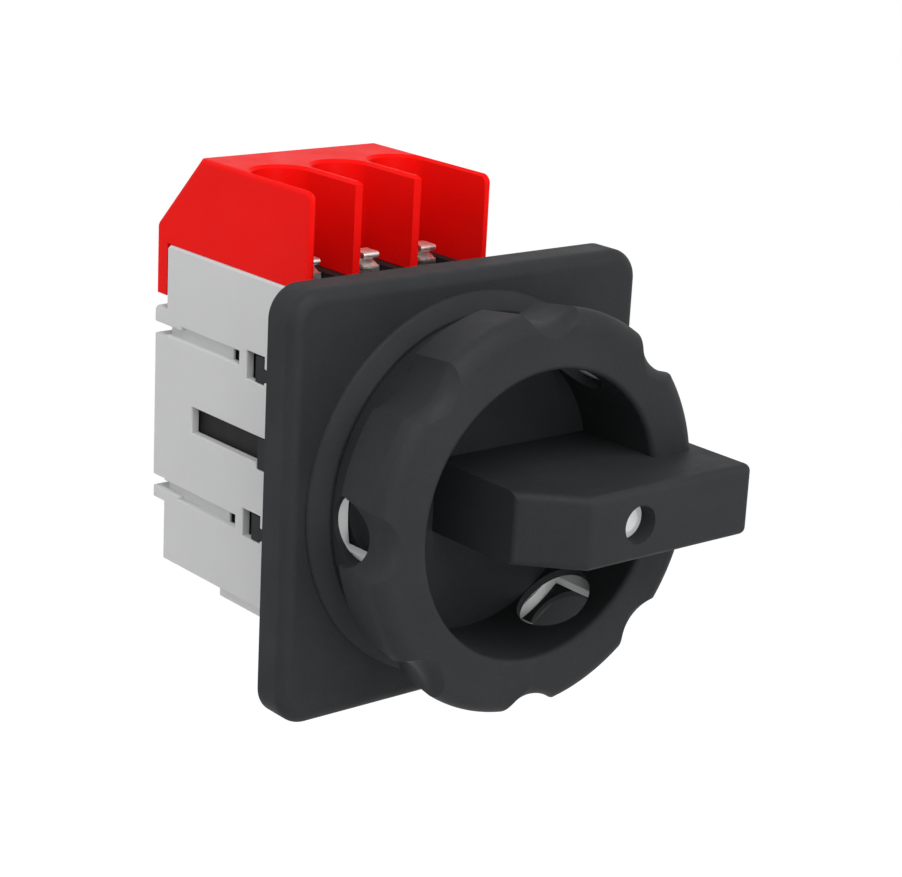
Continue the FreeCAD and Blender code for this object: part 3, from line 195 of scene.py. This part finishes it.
SHEEN = 0.12    # the plastics' own mirror share is weak
black = moulded("grained_black_plastic", (0.0200, 0.0210, 0.0226), 0.58, 0.32, 0.024,
                tint=0.14, dust=0.03, Specular_IOR_Level=SHEEN)
inner_black = moulded("plain_black_plastic", (0.0140, 0.0140, 0.0150), 0.50, 0.5, 0.010,
                      Specular_IOR_Level=SHEEN)
grey = moulded("pale_grey_plastic", (0.555, 0.557, 0.560), 0.54, 0.35, 0.010, tint=0.02,
               Specular_IOR_Level=SHEEN)
pale = moulded("white_plastic", (0.780, 0.785, 0.790), 0.42, 0.35, 0.008, tint=0.02,
               Specular_IOR_Level=SHEEN)
red = moulded("signal_red_plastic", (0.78, 0.0045, 0.0030), 0.46, 0.45, 0.008, tint=0.04,
              Specular_IOR_Level=SHEEN / 2)
print("plastics:", [m.name for m in (black, inner_black, grey, pale, red)])

# %% [markdown]
# ## Metals and rubber
# Zinc-plated steel has a fine crystal bloom; sprung steel is drawn, so its fine lines run one
# way, which a noise stretched along one axis gives. The copper alloy of the contacts is warm
# and slightly tarnished in patches, and tinned silvery where a wire is clamped to it. Rubber
# is matte with a dusty bloom.

# %% Metal and rubber recipes
def plated(name, color, roughness, spangle_mm, bloom=0.15):
    """Plated metal with crystal patches that differ in gloss and shade."""
    paint = Paint(name, color, roughness, Metallic=1.0)
    cells = paint.node("ShaderNodeTexVoronoi", {"feature": "F1"},
                       {"Vector": paint.place, "Scale": 1 / (spangle_mm * MM)})["Color"]
    patch = paint.node("ShaderNodeSeparateColor", None, {"Color": cells})["Red"]
    stain = paint.span(paint.noise(3.5, 4, 0.6), 0.45, 0.75)
    base = paint.blend(patch, lighter(color, 0.86), lighter(color, 1.08))
    paint.feed("Base Color", paint.blend(stain * bloom, base, lighter(color, 0.55)))
    paint.feed("Roughness", paint.span(patch + stain, 0, 1.6, roughness - 0.08, roughness + 0.15))
    paint.bump(paint.noise(0.2, 3, 0.6), 0.004)
    return paint.material


def drawn(name, color, roughness):
    """Sprung steel with fine drawing lines along the handle axis."""
    paint = Paint(name, color, roughness, Metallic=1.0)
    stretched = paint.node("ShaderNodeMapping", None,
                           {"Vector": paint.place, "Scale": (1.0, 0.06, 1.0)})["Vector"]
    lines = paint.node("ShaderNodeTexNoise", None,
                       {"Vector": stretched, "Scale": 1 / (0.12 * MM), "Detail": 2.0})["Fac"]
    paint.feed("Base Color", paint.blend(lines, lighter(color, 0.8), lighter(color, 1.15)))
    paint.feed("Roughness", paint.span(lines, 0.2, 0.8, roughness - 0.08, roughness + 0.12))
    paint.bump(lines, 0.005)
    return paint.material


def rubbery(name, color):
    """Matte rubber with a pale bloom."""
    paint = Paint(name, color, 0.8)
    bloom = paint.span(paint.noise(2.2, 5, 0.65), 0.45, 0.8)
    paint.feed("Base Color", paint.blend(bloom * 0.25, color, (0.13, 0.13, 0.125)))
    paint.feed("Roughness", paint.span(bloom, 0, 1, 0.72, 0.9))
    paint.bump(paint.noise(0.4, 3, 0.6), 0.02)
    return paint.material


zinc = plated("zinc_plated_steel", (0.66, 0.66, 0.64), 0.34, 0.5)
copper = plated("contact_copper", (0.80, 0.50, 0.30), 0.30, 0.35, bloom=0.3)
tin = plated("tinned_copper", (0.86, 0.85, 0.82), 0.42, 0.4, bloom=0.12)
spring = drawn("sprung_steel", (0.52, 0.52, 0.53), 0.32)
rubber = rubbery("sealing_rubber", (0.035, 0.035, 0.036))
print("metals and rubber:", [m.name for m in (zinc, copper, tin, spring, rubber)])

# %% [markdown]
# ## Every piece gets its finish
# The record says which material slot each node has, so one table from slot to finish dresses
# all of them at once.

# %% Dress the nodes
FINISH = {
    "black_plastic": black,
    "block_plastic": inner_black,
    "grey_plastic": grey,
    "pale_plastic": pale,
    "red_plastic": red,
    "seal_rubber": rubber,
    "spring_steel": spring,
    "zinc_steel": zinc,
    "contact_brass": copper,
    "tinned_contact": tin,
}
for part in frame["record"]["subparts"]:
    mesh = frame["nodes"][part["node"]].data
    mesh.materials.clear()
    mesh.materials.append(FINISH[part["material_slot"]])

# %% [markdown]
# ## Edges as a mould leaves them
# No moulded edge is perfectly sharp: the steel of the mould has a small radius, and the edges
# of the casing's slots, tabs and step catch thin lines of light. The construction model
# leaves these smallest radii out. A copy of the mesh takes them well, because the casing is
# nearly all flats: doubles are merged, flat faces are dissolved into one, and then only the
# edges that stand out are bevelled. Hollow corners stay sharp, as shadow fills them anyway.
# Normals weighted by face area keep the flats flat.

# %% Round the small edges of a copy
def softened(name, width_mm, least_degrees=50, segments=2):
    """A copy of a node with its standing edges rounded; it takes the node's place."""
    node = frame["nodes"][name]
    shape = bmesh.new()
    shape.from_mesh(node.data)
    bmesh.ops.remove_doubles(shape, verts=shape.verts, dist=0.002 * MM)
    bmesh.ops.dissolve_limit(shape, angle_limit=math.radians(0.6),
                             verts=shape.verts, edges=shape.edges)
    standing = [edge for edge in shape.edges
                if len(edge.link_faces) == 2 and edge.is_convex
                and edge.calc_face_angle(0) > math.radians(least_degrees)]
    bmesh.ops.bevel(shape, geom=standing, offset=width_mm * MM, offset_type="OFFSET",
                    segments=segments, profile=0.5, affect="EDGES", material=-1,
                    clamp_overlap=False)
    bmesh.ops.triangulate(shape, faces=[face for face in shape.faces if len(face.verts) > 4],
                          ngon_method="EAR_CLIP")
    for face in shape.faces:
        face.smooth = True
    mesh = bpy.data.meshes.new(name + "_soft")
    shape.to_mesh(mesh)
    shape.free()
    mesh.set_sharp_from_angle(angle=math.radians(40))
    mesh.materials.append(node.data.materials[0])
    piece = bpy.data.objects.new(name + "_soft", mesh)
    scene.collection.objects.link(piece)
    weights = piece.modifiers.new("flat_faces", "WEIGHTED_NORMAL")
    weights.keep_sharp = True
    bodies = frame["record"]["behaviour"]["bodies"]
    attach(piece, next(body for body, names in bodies.items() if name in names))
    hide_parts(name)
    print(name, "edges rounded:", len(standing), "faces:", len(mesh.polygons))


softened("casing", 0.2)

# %% [markdown]
# ## Floor and backdrop
# The picture has nothing but white round the switch. The floor lies below it, and to the
# camera it looks almost white through Light Path, while its own pale colour still takes the
# soft shadow. The world does the same behind it, and in reflections.

# %% Make the floor and the world
def seen_directly(paint):
    """1 for rays from the camera, in a mirror or through glass, and 0 for light."""
    path = paint.node("ShaderNodeLightPath")
    return path["Is Camera Ray"] + path["Is Glossy Ray"] + path["Is Transmission Ray"]


FLOOR_DROP, FLOOR_HALF = 0.11, 6.0      # metres
FLOOR_HEIGHT = bare_low.z - FLOOR_DROP
WHITE_SHARE = 0.9                       # of the glow in what the camera sees
floor_mesh = bpy.data.meshes.new("floor")
sheet = bmesh.new()
bmesh.ops.create_grid(sheet, x_segments=1, y_segments=1, size=FLOOR_HALF,
                      matrix=Matrix.Translation((0, 0, FLOOR_HEIGHT)))
sheet.to_mesh(floor_mesh)
sheet.free()
floor = bpy.data.objects.new("floor", floor_mesh)
scene.collection.objects.link(floor)
floor_paint = Paint("pale_floor", (0.86, 0.86, 0.86), 0.9)
glow = floor_paint.node("ShaderNodeEmission", None,
                        {"Color": (1, 1, 1, 1), "Strength": 1.06})["Emission"]
share = floor_paint.node("ShaderNodeMath", {"operation": "MINIMUM"},
                         {0: seen_directly(floor_paint) * WHITE_SHARE, 1: WHITE_SHARE})["Value"]
body = Socket(floor_paint, floor_paint.shader.outputs["BSDF"])
look = floor_paint.node("ShaderNodeMixShader", None, {0: share, 1: body, 2: glow})["Shader"]
output = floor_paint.tree.nodes["Material Output"]
floor_paint.tree.links.new(look.socket, output.inputs["Surface"])
floor_mesh.materials.append(floor_paint.material)

world = bpy.data.worlds.new("studio")
scene.world = world
world.use_nodes = True


class WorldPaint(Paint):
    """The same helpers on the world's tree."""

    def __init__(self, owner):
        self.tree = owner.node_tree


sky = WorldPaint(world)
background = world.node_tree.nodes["Background"]
background.inputs["Color"].default_value = (1, 1, 1, 1)
AMBIENT = 0.44
direct = sky.node("ShaderNodeMath", {"operation": "MINIMUM"},
                  {0: seen_directly(sky), 1: 1.0})["Value"]
level = sky.span(direct, 0, 1, AMBIENT, 1.0)
world.node_tree.links.new(level.socket, background.inputs["Strength"])
print("floor at", round(FLOOR_HEIGHT / MM), "mm, ambient", AMBIENT)

# %% [markdown]
# ## Soft light
# The key box hangs above the switch and a little to the left, so the top faces are brightest. A
# front box near the eye lights the plate and the bar, and two weaker ones fill from the right and
# from behind on the left. All are wide for their distance, so their shadows have soft edges.

# %% Place the soft boxes
def soft_box(name, place_mm, size_mm, watts):
    light = bpy.data.lights.new(name, "AREA")
    light.shape = "SQUARE"
    light.size = size_mm * MM
    light.energy = watts
    lamp = bpy.data.objects.new(name, light)
    lamp.location = Vector(place_mm) * MM
    lamp.rotation_mode = "QUATERNION"
    lamp.rotation_quaternion = (-lamp.location).to_track_quat("-Z", "Y")
    scene.collection.objects.link(lamp)


soft_box("key", (-140, -240, 380), 320, 1.75)
soft_box("front", (-150, -520, 60), 300, 0.85)
soft_box("fill", (360, -420, 160), 400, 0.6)
soft_box("back", (-420, 260, 240), 300, 0.5)

# %% [markdown]
# ## The camera of the picture
# The eye stands to the left of the handle and above it. A camera was first fitted to the edges
# of the square plate in the picture. This one has no lens shift, and its place, direction and
# small roll bring the model's corners as near as it can to where that first camera puts them.

# %% Set the camera
PICTURE_WIDTH, FOCAL_LENGTH = 902, 2390.0     # pixels
SENSOR = 36                                   # mm
EYE = Vector((-226.37, -271.68, 113.31)) * MM
AZIMUTH, ELEVATION, ROLL = math.radians(40.03), math.radians(16.95), math.radians(3.02)
back = Vector((-math.sin(AZIMUTH) * math.cos(ELEVATION),
               -math.cos(AZIMUTH) * math.cos(ELEVATION), math.sin(ELEVATION)))
camera = bpy.data.objects.new("camera", bpy.data.cameras.new("camera"))
camera.data.sensor_width = SENSOR
camera.data.lens = FOCAL_LENGTH * SENSOR / PICTURE_WIDTH
camera.data.clip_start = 0.01
camera.location = EYE
camera.rotation_mode = "QUATERNION"
camera.rotation_quaternion = (-back).to_track_quat("-Z", "Y") @ Quaternion((0, 0, 1), ROLL)
scene.collection.objects.link(camera)
scene.camera = camera
scene.view_settings.view_transform = "Standard"
print("lens", round(camera.data.lens, 1), "mm")
